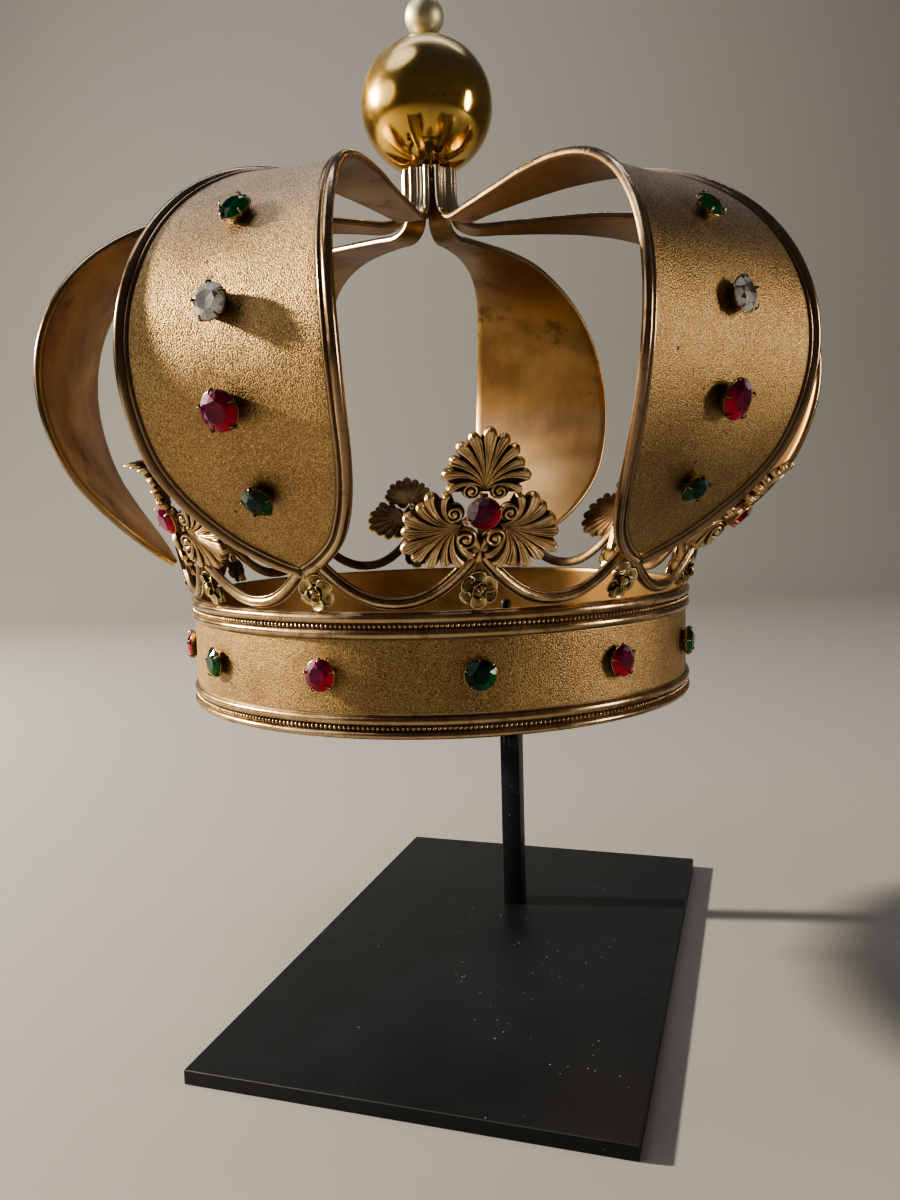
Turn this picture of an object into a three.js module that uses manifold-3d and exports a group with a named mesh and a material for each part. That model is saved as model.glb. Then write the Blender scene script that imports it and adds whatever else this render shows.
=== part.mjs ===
// Processional crown on a plain black stand. Millimetres, +Z up: the crown's axis is the Z axis,
// the stand's plate rests on z = 0, and azimuth 0 is the front (-Y), growing towards +X.
import * as THREE from "three";
import { mergeVertices } from "three/addons/utils/BufferGeometryUtils.js";
import Module from "manifold-3d";

const wasm = await Module();
wasm.setup();

// Driving dimensions
const seatGap = 0.3; // clearance between neighbouring pieces
const bandBase = 117; // underside of the crown above the table
const bandRadius = 95; // outer face of the band's plain field
const bandWall = 2;
const bandHeight = 39.5;
const bandSides = 40;
const bandStoneHeight = 19.8;

const festoonCount = 12;
const festoonWidth = 4.2;
const festoonFoot = { radius: 94.9, height: 41.9 }; // centre of the wire at its lowest point
const festoonRise = 17;
const festoonLean = 19; // degrees from vertical
const festoonSteps = 6;

const rosette = { radius: 96.5, height: 45.9, petals: 6, tip: 6.4, valley: 5.5 };
const rosetteStem = { width: 3, length: 9, thick: 1.2 }; // strap from the rosette up to the cusp
const cuspPad = { width: 5, length: 4, depth: 4 }; // carries the foot of a trefoil or an arch

const trefoilFoot = { radius: 102.1, height: 56, arm: 15.5 }; // each trefoil leans out from here

const sheet = 1.2; // thickness of the arches
const edgeMoulding = { width: 4.6, raise: 1.3 };
const archDish = 1.2; // how far the edges stand out from the middle at the widest place

const orb = { radius: 24.9, height: 221 };
const orbBall = { radius: 7.3, height: 253.5 };

const plate = { width: 149, length: 233, thick: 5, x: 17.9, y: 3.2, turn: -24.8 };
const post = { side: 8.6, x: 35.7, y: 44.2 };
const rod = 3.2;
const prong = { azimuth: 6, radius: 90.6, top: 42.2 };

// Arch outline: radius and height of its edges above the band's underside, and half width
const archStations = [
  [102.4, 51.3, 1.8],
  [106.4, 55.3, 10.5],
  [112, 61.2, 19],
  [118.2, 67.9, 25],
  [124.6, 75.4, 29.8],
  [131.4, 85.3, 33.7],
  [136.9, 98.5, 35.8],
  [140, 113.5, 36.5],
  [139.6, 128.5, 35.5],
  [135.2, 143.2, 33],
  [127.6, 155.2, 29.8],
  [117.5, 164.6, 25.8],
  [103.5, 172.4, 21],
  [86, 177.2, 16.8],
  [66, 178.9, 12.6],
  [46, 178.4, 8.8],
  [29, 177.4, 6.4],
  [16.5, 176.8, 5],
];
// The strip's end turned up to carry the orb
const neckStations = [
  [11.2, 179.4, 4.5],
  [9.2, 185, 4.2],
  [8.8, 197, 4.2],
];
const archSteps = 15;

// Hand-bent arches. At mid length reach pushes the sheet out, turn swings it round in degrees and
// wide widens it; lift raises it towards the crest. aside is how far the middle stones are off centre.
const arches = [
  { azimuth: -30.4, reach: -0.7, turn: 0, wide: 0.96, lift: -2.6, aside: -1.4 },
  { azimuth: 30, reach: 1.5, turn: 0, wide: 1.07, lift: -0.3, aside: 0.6 },
  { azimuth: 90, reach: 0, turn: 0, wide: 1, lift: 0, aside: 0 },
  { azimuth: 150, reach: 0, turn: 0.5, wide: 0.96, lift: 0.8, aside: 0 },
  { azimuth: -150, reach: 0, turn: 0, wide: 1, lift: 0, aside: 0 },
  { azimuth: -90, reach: -0.9, turn: -3.5, wide: 1, lift: -0.6, aside: 0 },
];
// The three palmettes of a trefoil are bent back from its upright axis: top, left and right
const trefoils = [
  { azimuth: 0, lean: 25, folds: [0, -5, 5] },
  { azimuth: 60, lean: 47, folds: [0, -26, 12] },
  { azimuth: 120, lean: 35, folds: [0, -10, 10] },
  { azimuth: 180, lean: 45, folds: [0, -10, 10] },
  { azimuth: -120, lean: 30, folds: [0, -10, 10] },
  { azimuth: -60, lean: 25, folds: [-26, -26, 12] },
];

// Stones: radius of the girdle, and the height of the girdle above the surface it stands on
const cut = { sides: 8, table: 0.6, crown: 0.32, pavilion: 0.35 };
const archStones = [
  { letter: "a", colour: "green", along: 0.2, radius: 4.6, girdle: 3, asideShare: 0 },
  { letter: "b", colour: "red", along: 0.304, radius: 5.7, girdle: 4, asideShare: 1 },
  { letter: "c", colour: "clear", along: 0.395, radius: 5, girdle: 3.4, asideShare: 1 },
  { letter: "d", colour: "green", along: 0.49, radius: 4.5, girdle: 2.6, asideShare: 0 },
];
const bandStones = {
  red: { radius: 5.1, girdle: 2.3 },
  green: { radius: 4.9, girdle: 2.3 },
};
const trefoilStone = { radius: 4.9, girdle: 2.9 };

// Palmette: angle of each lobe from the palmette's axis, and its length from the base
const palmetteLobes = [
  [-80, 11.4], [-56, 14.6], [-29, 17.8], [0, 19.9],
  [29, 17.8], [56, 14.6], [80, 11.4], [180, 4.6],
];
const palmettePlaces = [
  { x: 0.3, y: 5.2, turn: -2 },
  { x: -5.6, y: -4.5, turn: 114 },
  { x: 4.9, y: -4.5, turn: -117 },
];

const gold = { color: 0xb08a45, metalness: 1, roughness: 0.35 };
const stoneLooks = {
  red: { color: 0x8c0a24, metalness: 0, roughness: 0.1 },
  green: { color: 0x0d4a34, metalness: 0, roughness: 0.1 },
  clear: { color: 0xb8b6a8, metalness: 0, roughness: 0.1 },
};
const black = { color: 0x111111, metalness: 0, roughness: 0.5 };

const crown = new THREE.Group();
crown.name = "processional_crown";

function solid(geometry) {
  const bare = new THREE.BufferGeometry();
  bare.setAttribute("position", geometry.getAttribute("position"));
  if (geometry.index) bare.setIndex(geometry.index);
  const merged = mergeVertices(bare, 1e-4);
  const triVerts = new Uint32Array(merged.index.array);
  const vertProperties = merged.attributes.position.array;
  return new wasm.Manifold(new wasm.Mesh({ numProp: 3, vertProperties, triVerts }));
}

function join(geometries) {
  return geometries.map(solid).reduce((a, b) => a.add(b));
}

function addNode(name, shape, look) {
  const made = shape.getMesh();
  const geometry = new THREE.BufferGeometry();
  geometry.setAttribute("position", new THREE.BufferAttribute(made.vertProperties, 3));
  geometry.setIndex(new THREE.BufferAttribute(made.triVerts, 1));
  geometry.computeVertexNormals();
  const mesh = new THREE.Mesh(geometry, new THREE.MeshStandardMaterial(look));
  mesh.name = name;
  crown.add(mesh);
}

// Directions round the axis at an azimuth in degrees
function around(azimuth) {
  const a = THREE.MathUtils.degToRad(azimuth);
  return {
    side: new THREE.Vector3(Math.cos(a), Math.sin(a), 0),
    out: new THREE.Vector3(Math.sin(a), -Math.cos(a), 0),
  };
}

// Matrix that carries a piece drawn facing +Z, with +Y up, to a place facing out from the axis
function facing(azimuth, radius, height, lean) {
  const { side, out } = around(azimuth);
  const tip = THREE.MathUtils.degToRad(lean);
  const normal = out.clone().multiplyScalar(Math.cos(tip));
  normal.z = -Math.sin(tip);
  const up = normal.clone().cross(side);
  const place = out.multiplyScalar(radius).setZ(bandBase + height);
  return new THREE.Matrix4().makeBasis(side, up, normal).setPosition(place);
}

function revolve(profile, sides) {
  const points = profile.map(([r, z]) => new THREE.Vector2(r, z));
  return new THREE.LatheGeometry(points, sides).rotateX(Math.PI / 2);
}

// Skin over matching rings of points, closed at both ends
function loft(rings, capShape) {
  const n = rings[0].length;
  const index = [];
  for (let i = 0; i + 1 < rings.length; i++) {
    for (let j = 0; j < n; j++) {
      const k = (j + 1) % n;
      const [a, b, c, d] = [i * n + j, i * n + k, (i + 1) * n + k, (i + 1) * n + j];
      index.push(a, c, b, a, d, c);
    }
  }
  const last = (rings.length - 1) * n;
  for (const [a, b, c] of THREE.ShapeUtils.triangulateShape(capShape, [])) {
    index.push(a, b, c);
    index.push(last + c, last + b, last + a);
  }
  const geometry = new THREE.BufferGeometry().setFromPoints(rings.flat());
  return geometry.setIndex(index);
}

function stoneShape({ radius, girdle }) {
  const low = girdle - cut.pavilion * radius;
  const high = girdle + cut.crown * radius;
  return revolve([[0, low], [radius, girdle], [cut.table * radius, high], [0, high]], cut.sides);
}

function colletShape({ radius, girdle }, root) {
  const rim = girdle - seatGap * 1.4;
  const cup = rim - cut.pavilion * radius;
  const profile = [[0, -root], [0.75 * radius, -root], [radius + 0.45, rim], [0, cup]];
  return revolve(profile, cut.sides);
}

// Band with its two moulded rims and the stones round it
function buildBand() {
  const r = bandRadius;
  const h = bandHeight;
  const profile = [
    [r - bandWall, 0], [r + 0.6, 0], [r + 1.2, 1.2], [r + 0.5, 2.4],
    [r + 1.3, 5.7], [r, 7.2], [r, h - 8.6], [r + 1.3, h - 7],
    [r + 0.5, h - 3.6], [r + 1.5, h - 1.9], [r + 0.8, h], [r - bandWall, h],
  ];
  const ring = revolve([...profile, profile[0]], bandSides).translate(0, 0, bandBase);
  const pieces = [ring];
  for (let i = 0; i < 12; i++) {
    const azimuth = i * 30;
    const colour = i % 2 ? "red" : "green";
    const place = facing(azimuth, bandRadius, bandStoneHeight, 0);
    const stone = bandStones[colour];
    pieces.push(colletShape(stone, 1).applyMatrix4(place));
    const name = "band_stone_" + String(i + 1).padStart(2, "0");
    addNode(name, solid(stoneShape(stone).applyMatrix4(place)), stoneLooks[colour]);
  }
  addNode("band", join(pieces), gold);
}

// Point on the centre line of a festoon: across runs from -1 to 1 between its two cusps
function festoonPoint(middle, across) {
  const { out } = around(middle + (across * 180) / festoonCount);
  const rise = festoonRise * Math.abs(across) ** 2.2;
  const lean = THREE.MathUtils.degToRad(festoonLean);
  const radius = festoonFoot.radius + rise * Math.sin(lean);
  return out.multiplyScalar(radius).setZ(bandBase + festoonFoot.height + rise * Math.cos(lean));
}

function festoonShape(middle) {
  const half = festoonWidth / 2;
  const section = [[-half, -0.8], [half, -0.8], [0.5 * half, 1.4], [-0.5 * half, 1.4]];
  const rings = [];
  for (let i = 0; i <= festoonSteps; i++) {
    const across = -1.01 + (2.02 * i) / festoonSteps;
    const centre = festoonPoint(middle, across);
    const along = festoonPoint(middle, across + 0.02).sub(festoonPoint(middle, across - 0.02));
    const { out } = around(middle + (across * 180) / festoonCount);
    const normal = out.setZ(-Math.tan(THREE.MathUtils.degToRad(festoonLean))).normalize();
    const wide = along.cross(normal).normalize();
    rings.push(section.map(([w, n]) => centre.clone().addScaledVector(wide, w).addScaledVector(normal, n)));
  }
  return loft(rings, section.map(([w, n]) => new THREE.Vector2(w, n)));
}

// Lobed plate round its origin: lobes are [angle, length] pairs, valley is a share of the length
function lobedPlate(lobes, valleyOf, heights) {
  const points = [[0, 0, heights.back], [0, 0, heights.hub]];
  const index = [];
  const rim = lobes.flatMap(([angle, length], i) => {
    const [nextAngle, nextLength] = lobes[(i + 1) % lobes.length];
    const turn = (nextAngle - angle + 360) % 360;
    return [[angle, length], [angle + turn / 2, valleyOf(length, nextLength)]];
  });
  rim.forEach(([angle, length], i) => {
    const a = THREE.MathUtils.degToRad(-angle);
    const [x, y] = [Math.sin(a) * length, Math.cos(a) * length];
    const top = i % 2 ? heights.valley : heights.tip;
    points.push([x, y, heights.back], [x, y, top]);
    points.push([0.7 * x, 0.7 * y, heights.crest]);
  });
  const count = rim.length;
  for (let i = 0; i < count; i++) {
    const a = 2 + 3 * i;
    const b = 2 + 3 * ((i + 1) % count);
    const crest = i % 2 ? b + 2 : a + 2;
    index.push(0, b, a, a, b, b + 1, a, b + 1, a + 1);
    index.push(a + 1, b + 1, crest);
    index.push(...(i % 2 ? [a + 1, crest, 1] : [crest, b + 1, 1]));
  }
  const geometry = new THREE.BufferGeometry();
  geometry.setFromPoints(points.map(([x, y, z]) => new THREE.Vector3(x, y, z)));
  return geometry.setIndex(index);
}

function rosetteShape() {
  const lobes = [];
  for (let i = 0; i < rosette.petals; i++) lobes.push([((i + 0.5) * 360) / rosette.petals, rosette.tip]);
  return lobedPlate(lobes, () => rosette.valley, { back: -1.4, hub: 2, valley: 0.2, tip: 0.8, crest: 0.9 });
}

function padShape(place, low, front) {
  const { width, length, depth } = cuspPad;
  const pad = new THREE.BoxGeometry(width, length, depth);
  return pad.translate(0, low + length / 2, front - depth / 2).applyMatrix4(place);
}

function buildGallery() {
  const pieces = trefoils.map((t) => padShape(trefoilPlace(t), -trefoilFoot.arm, -0.8 - seatGap));
  for (const arch of arches) {
    const foot = archPlace(arch, archCurve(arch), 0);
    pieces.push(padShape(archSeat(foot), 0, -sheet - 0.2 - seatGap));
  }
  for (let i = 0; i < festoonCount; i++) {
    const cusp = (i * 360) / festoonCount;
    pieces.push(festoonShape(cusp + 180 / festoonCount));
    const place = facing(cusp, rosette.radius, rosette.height, festoonLean);
    pieces.push(rosetteShape().applyMatrix4(place));
    const { width, length, thick } = rosetteStem;
    const stem = new THREE.BoxGeometry(width, length, thick).translate(0, 3.6 + length / 2, -0.4);
    pieces.push(stem.applyMatrix4(place));
  }
  addNode("gallery", join(pieces), gold);
}

function palmetteShape({ x, y, turn }, fold) {
  const heights = { back: -0.8, hub: 0.9, valley: 0.3, tip: 0.5, crest: 1.5 };
  const plateShape = lobedPlate(palmetteLobes, (a, b) => 0.86 * Math.min(a, b) + 0.3, heights);
  plateShape.rotateZ(THREE.MathUtils.degToRad(turn)).rotateY(THREE.MathUtils.degToRad(fold));
  return plateShape.translate(x, y, 0);
}

function trefoilPlace({ azimuth, lean }) {
  const angle = THREE.MathUtils.degToRad(lean);
  const radius = trefoilFoot.radius + trefoilFoot.arm * Math.sin(angle);
  const height = trefoilFoot.height + trefoilFoot.arm * Math.cos(angle);
  return facing(azimuth, radius, height, lean);
}

function buildTrefoils() {
  trefoils.forEach((trefoil, i) => {
    const place = trefoilPlace(trefoil);
    const pieces = palmettePlaces.map((spot, j) => palmetteShape(spot, trefoil.folds[j]));
    pieces.push(colletShape(trefoilStone, 0.8));
    const shape = join(pieces.map((p) => p.applyMatrix4(place)));
    addNode("trefoil_" + (i + 1), shape, gold);
    const stone = solid(stoneShape(trefoilStone).applyMatrix4(place));
    addNode("trefoil_stone_" + (i + 1), stone, stoneLooks.red);
  });
}

// Edge profile of one arch as a curve of (radius, height, half width)
function archCurve({ reach, wide, lift }) {
  const bent = archStations.map(([r, z, half], i) => {
    const t = i / (archStations.length - 1);
    const bulge = Math.sin(Math.PI * t);
    const width = half * (1 + (wide - 1) * bulge ** 2);
    return new THREE.Vector3(r + reach * bulge ** 2, z + lift * bulge * t, width);
  });
  const neck = neckStations.map((station) => new THREE.Vector3(...station));
  return new THREE.CatmullRomCurve3([...bent, ...neck], false, "centripetal");
}

// Azimuth, place, outward normal in the radius-height plane and half width at a share of the length
function archPlace(arch, curve, t) {
  const at = curve.getPoint(t);
  const along = curve.getTangent(t);
  const normal = new THREE.Vector2(along.y, -along.x).normalize();
  const sink = archDish * (at.z / 36.5);
  const azimuth = arch.azimuth + arch.turn * Math.sin(Math.PI * Math.min(1, t * 1.15));
  return { azimuth, r: at.x, z: at.y, half: at.z, normal, sink };
}

// Matrix that stands a piece on the sheet's outer face at that place, aside of the centre line
function archSeat({ azimuth, r, z, normal, sink }, aside = 0) {
  const lean = THREE.MathUtils.radToDeg(Math.atan2(-normal.y, normal.x));
  const seat = facing(azimuth, r - sink * normal.x, z - sink * normal.y, lean);
  return seat.multiply(new THREE.Matrix4().makeTranslation(aside, 0, 0));
}

function archSection({ half, sink }) {
  const width = Math.min(edgeMoulding.width, 0.62 * half);
  const inner = half - width;
  const step = Math.min(0.9, 0.2 * inner);
  const dip = (x) => -sink * (1 - (x / half) ** 2);
  const outer = [
    [half, edgeMoulding.raise * 0.6], [half - 0.4 * width, edgeMoulding.raise + dip(half - width / 2)],
    [inner, dip(inner)], [0, dip(0)], [-inner, dip(inner)],
    [-(half - 0.4 * width), edgeMoulding.raise + dip(half - width / 2)], [-half, edgeMoulding.raise * 0.6],
  ];
  return [...outer, [-half, -sheet], [0, dip(0) - sheet], [half, -sheet]];
}

function archShape(arch, curve) {
  const rings = [];
  for (let i = 0; i <= archSteps; i++) {
    const place = archPlace(arch, curve, i / archSteps);
    const { side, out } = around(place.azimuth);
    rings.push(archSection(place).map(([x, n]) => {
      const radius = place.r + n * place.normal.x;
      const height = bandBase + place.z + n * place.normal.y;
      return out.clone().multiplyScalar(radius).addScaledVector(side, x).setZ(height);
    }));
  }
  const cap = archSection(archPlace(arch, curve, 0)).map(([x, n]) => new THREE.Vector2(x, n));
  return loft(rings, cap);
}

function buildArches() {
  arches.forEach((arch, i) => {
    const curve = archCurve(arch);
    const pieces = [archShape(arch, curve)];
    for (const stone of archStones) {
      const seat = archSeat(archPlace(arch, curve, stone.along), arch.aside * stone.asideShare);
      pieces.push(colletShape(stone, 0.9).applyMatrix4(seat));
      const name = "arch_stone_" + (i + 1) + stone.letter;
      addNode(name, solid(stoneShape(stone).applyMatrix4(seat)), stoneLooks[stone.colour]);
    }
    addNode("arch_" + (i + 1), join(pieces), gold);
  });
}

function buildOrb() {
  const ball = new THREE.SphereGeometry(orb.radius, 18, 10).rotateX(Math.PI / 2);
  addNode("orb", solid(ball.translate(0, 0, bandBase + orb.height)), gold);
  const small = new THREE.SphereGeometry(orbBall.radius, 8, 6).rotateX(Math.PI / 2);
  addNode("orb_ball", solid(small.translate(0, 0, bandBase + orbBall.height)), gold);
}

// Rod lying flat from the post to a place under the band's rim
function armShape(azimuth, radius) {
  const end = around(azimuth).out.multiplyScalar(radius);
  const run = new THREE.Vector3(end.x - post.x, end.y - post.y, 0);
  const arm = new THREE.BoxGeometry(run.length(), rod, rod).translate(run.length() / 2, 0, 0);
  arm.rotateZ(Math.atan2(run.y, run.x));
  return arm.translate(post.x, post.y, bandBase - seatGap - rod / 2);
}

function prongShape() {
  const foot = bandBase - seatGap - rod;
  const top = bandBase + prong.top;
  const r = rod / 2;
  const profile = [[0, foot], [r, foot], [r, top - 1.4], [0.62 * r, top - 0.3], [0, top]];
  const { out } = around(prong.azimuth);
  return revolve(profile, 6).translate(out.x * prong.radius, out.y * prong.radius, 0);
}

function buildStand() {
  const turn = THREE.MathUtils.degToRad(plate.turn);
  const slab = new THREE.BoxGeometry(plate.width, plate.length, plate.thick).rotateZ(turn);
  addNode("stand_plate", solid(slab.translate(plate.x, plate.y, plate.thick / 2)), black);
  const height = bandBase - seatGap - plate.thick;
  const upright = new THREE.BoxGeometry(post.side, post.side, height).rotateZ(turn);
  upright.translate(post.x, post.y, plate.thick + height / 2);
  const arms = [armShape(prong.azimuth, 96), armShape(115, 96), armShape(-115, 96)];
  addNode("stand_post", join([upright, ...arms, prongShape()]), black);
}

buildBand();
buildGallery();
buildTrefoils();
buildArches();
buildOrb();
buildStand();

export default crown;
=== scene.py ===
from math import atan2, copysign, cos, degrees, hypot, pi, sin, tan
import bpy
import numpy as np
from mathutils import Matrix, Vector


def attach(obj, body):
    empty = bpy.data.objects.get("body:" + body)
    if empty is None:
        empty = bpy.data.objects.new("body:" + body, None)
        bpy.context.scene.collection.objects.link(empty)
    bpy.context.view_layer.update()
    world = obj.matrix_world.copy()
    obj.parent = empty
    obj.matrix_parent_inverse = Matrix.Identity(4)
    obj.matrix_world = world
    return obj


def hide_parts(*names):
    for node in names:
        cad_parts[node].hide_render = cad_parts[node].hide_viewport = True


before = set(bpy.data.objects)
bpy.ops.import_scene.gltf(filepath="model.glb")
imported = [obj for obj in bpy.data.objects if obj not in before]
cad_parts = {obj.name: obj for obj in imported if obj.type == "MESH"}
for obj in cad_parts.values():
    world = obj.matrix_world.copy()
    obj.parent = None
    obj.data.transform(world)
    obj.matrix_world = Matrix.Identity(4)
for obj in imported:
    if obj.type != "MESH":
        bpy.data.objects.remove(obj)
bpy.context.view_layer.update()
mm = 0.001
print("frame loaded:", len(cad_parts), "nodes")

# shapes are drawn in millimetres, and azimuths are degrees round the crown from its front
bandBase = 117.0  # the band's lower edge above the table
wobble = np.random.default_rng(7)
join = np.concatenate


def rad(angle):
    return np.radians(angle)


def circle(count):
    return rad(np.arange(count) * 360 / count)


def around(azimuth):
    # sideways and outwards at an azimuth
    a = np.asarray(rad(azimuth), float)
    c, s, zero = np.cos(a), np.sin(a), np.zeros_like(a)
    return np.stack([c, s, zero], -1), np.stack([s, -c, zero], -1)


def placeMatrix(side, up, normal, origin):
    matrix = np.eye(4)
    matrix[:3, 0], matrix[:3, 1], matrix[:3, 2], matrix[:3, 3] = side, up, normal, origin
    return matrix


def facing(azimuth, radius, height, lean=0.0):
    # a piece drawn facing +Z with +Y up is carried to a place facing out from the axis
    side, out = around(azimuth)
    normal = out * cos(rad(lean))
    normal[2] = -sin(rad(lean))
    origin = out * radius
    origin[2] = bandBase + height
    return placeMatrix(side, np.cross(normal, side), normal, origin)


def turned(angle, x=0.0, y=0.0, z=0.0):
    c, s = cos(rad(angle)), sin(rad(angle))
    return placeMatrix((c, s, 0), (-s, c, 0), (0, 0, 1), (x, y, z))


def folded(angle):
    # bend about a piece's upright axis
    c, s = cos(rad(angle)), sin(rad(angle))
    return placeMatrix((c, 0, -s), (0, 1, 0), (s, 0, c), (0, 0, 0))


def moved(points, matrix):
    return np.asarray(points, float) @ matrix[:3, :3].T + matrix[:3, 3]


def gridFaces(rows, columns, closeRows=False, closeColumns=True):
    r = np.arange(rows if closeRows else rows - 1)
    c = np.arange(columns if closeColumns else columns - 1)
    i, j = [v.ravel() for v in np.meshgrid(r, c, indexing="ij")]
    k, n = (i + 1) % rows, (j + 1) % columns
    return np.stack([i * columns + j, i * columns + n, k * columns + n, k * columns + j], 1)


def polar(radius, angle, height):
    return np.stack(np.broadcast_arrays(radius * np.cos(angle), radius * np.sin(angle), height), -1)


def spun(profile, sides):
    # rings about +Z; each row of the profile starts with a radius and a height
    p = np.array(profile, float)
    return polar(p[:, :1], circle(sides), p[:, 1:2])


def held(values):
    return np.clip(values, 0, 1)


def unit(vectors):
    return vectors / np.linalg.norm(vectors, axis=1)[:, None]


def placed(name, data):
    thing = bpy.data.objects.new(name, data)
    bpy.context.collection.objects.link(thing)
    return thing


class Shape:
    # one mesh in the making; the marks are its points' darkness, mostly painted shade, and on stones
    # their facets' painted light
    def __init__(self):
        self.parts, self.count = [], 0

    def add(self, points, faces, finish=0, smooth=True, mark=0.0, place=None):
        points = np.asarray(points, float).reshape(-1, 3)
        if place is not None:
            points = moved(points, place)
        if isinstance(faces, np.ndarray):
            loops, sizes = faces.ravel(), np.full(len(faces), faces.shape[1])
        else:
            loops = np.array([v for face in faces for v in face])
            sizes = np.array([len(face) for face in faces])
        finish, smooth = np.broadcast_to(finish, len(sizes)), np.broadcast_to(smooth, len(sizes))
        marks = np.broadcast_to(mark, len(points))
        self.parts.append((points, loops + self.count, sizes, finish, smooth, marks))
        self.count += len(points)

    def addRings(self, points, finish=0, mark=0.0, place=None, closeRows=False):
        # rows of points, each closed on itself; mark may differ for each row or point
        size = points.shape[:2]
        mark = np.broadcast_to(mark, size).ravel()
        self.add(points, gridFaces(*size, closeRows), finish, mark=mark, place=place)

    def build(self, name, looks, nodes, body="root"):
        points, loops, sizes, finish, smooth, marks = [join(values) for values in zip(*self.parts)]
        mesh = bpy.data.meshes.new(name)
        polygons = {"loop_start": join([[0], np.cumsum(sizes)[:-1]]), "loop_total": sizes,
                    "material_index": finish, "use_smooth": smooth}
        for part, count, fields in (
                (mesh.vertices, len(points), {"co": points.ravel() * mm}),
                (mesh.loops, len(loops), {"vertex_index": loops}), (mesh.polygons, len(sizes), polygons)):
            part.add(count)
            for field, values in fields.items():
                kind = {"co": np.float32, "use_smooth": bool}.get(field, np.int32)
                part.foreach_set(field, values.astype(kind))
        mesh.update(calc_edges=True)
        mesh.validate()
        shade = mesh.attributes.new("shade", "FLOAT", "POINT")
        shade.data.foreach_set("value", marks.astype(np.float32))
        piece = placed(name, mesh)
        for look in looks:
            mesh.materials.append(look)
        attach(piece, body)
        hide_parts(*nodes)


def addBar(shape, size, place, bevel, mark, edge, finish=0):
    # box with rounded edges; mark and edge are the darkness of its faces and edges
    x, y, z = [v / 2 for v in size]
    quarterRound = rad(np.array([0, 30, 60, 90]))
    outline = []
    for quarter, (cx, cy) in enumerate([(x, y), (-x, y), (-x, -y), (x, -y)]):
        cx, cy = cx - copysign(bevel, cx), cy - copysign(bevel, cy)
        outline += [(cx, cy, cos(v), sin(v)) for v in quarterRound + quarter * pi / 2]
    o = np.array(outline)
    steps = [(0.0, 1.0), (0.13, 0.5), (0.5, 0.13), (1.0, 0.0)]  # up and in, as shares of the bevel
    levels = [(-z + bevel * up, inset) for up, inset in steps]
    levels += [(z - bevel * up, inset) for up, inset in steps[::-1]]
    rings = [np.column_stack([o[:, :2] + o[:, 2:] * bevel * (1 - inset), np.full(len(o), level)])
             for level, inset in levels]
    marks = np.repeat([mark, edge, edge, mark, mark, edge, edge, mark], len(o))
    count = len(o)
    faces = [list(face) for face in gridFaces(len(levels), count)]
    smooth = [True] * len(faces) + [False, False]
    faces.append(list(range(count))[::-1])
    faces.append([(len(levels) - 1) * count + i for i in range(count)])
    shape.add(np.array(rings), faces, finish, smooth=np.array(smooth), mark=marks, place=place)


class Value:
    # a socket that takes part in sums
    def __init__(self, owner, socket):
        self.owner, self.socket = owner, socket

    def math(self, operation, first, second):
        return self.owner.node("Math", {"operation": operation}, {0: first, 1: second})

    def __add__(self, other): return self.math("ADD", self, other)
    def __radd__(self, other): return self.math("ADD", other, self)
    def __sub__(self, other): return self.math("SUBTRACT", self, other)
    def __rsub__(self, other): return self.math("SUBTRACT", other, self)
    def __mul__(self, other): return self.math("MULTIPLY", self, other)
    def __rmul__(self, other): return self.math("MULTIPLY", other, self)

    def ramp(self, low, high, start=0.0, end=1.0):
        # low..high becomes start..end, smoothly and held at both
        feeds = {"Value": self, "From Min": low, "From Max": high, "To Min": start, "To Max": end}
        return self.owner.node("MapRange", {"interpolation_type": "SMOOTHSTEP"}, feeds)


class Nodes:
    # a node tree and the one method that adds any node to it
    def __init__(self, tree):
        self.tree = tree

    def set(self, node, key, value):
        socket = node.inputs[key]
        if isinstance(value, Value):
            self.tree.links.new(value.socket, socket)
        elif isinstance(value, tuple) and len(value) == 3 and socket.type == "RGBA":
            socket.default_value = (*value, 1.0)
        else:
            socket.default_value = value

    def node(self, kind, settings=None, feeds=None, output=0):
        node = self.tree.nodes.new("ShaderNode" + kind)
        for key, value in (settings or {}).items():
            if key == "stops":
                for element, colour in zip(node.color_ramp.elements, value):
                    element.color = (*colour, 1.0)
            else:
                setattr(node, key, value)
        for key, value in (feeds or {}).items():
            self.set(node, key, value)
        return Value(self, node.outputs[output]) if node.outputs else node


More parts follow.
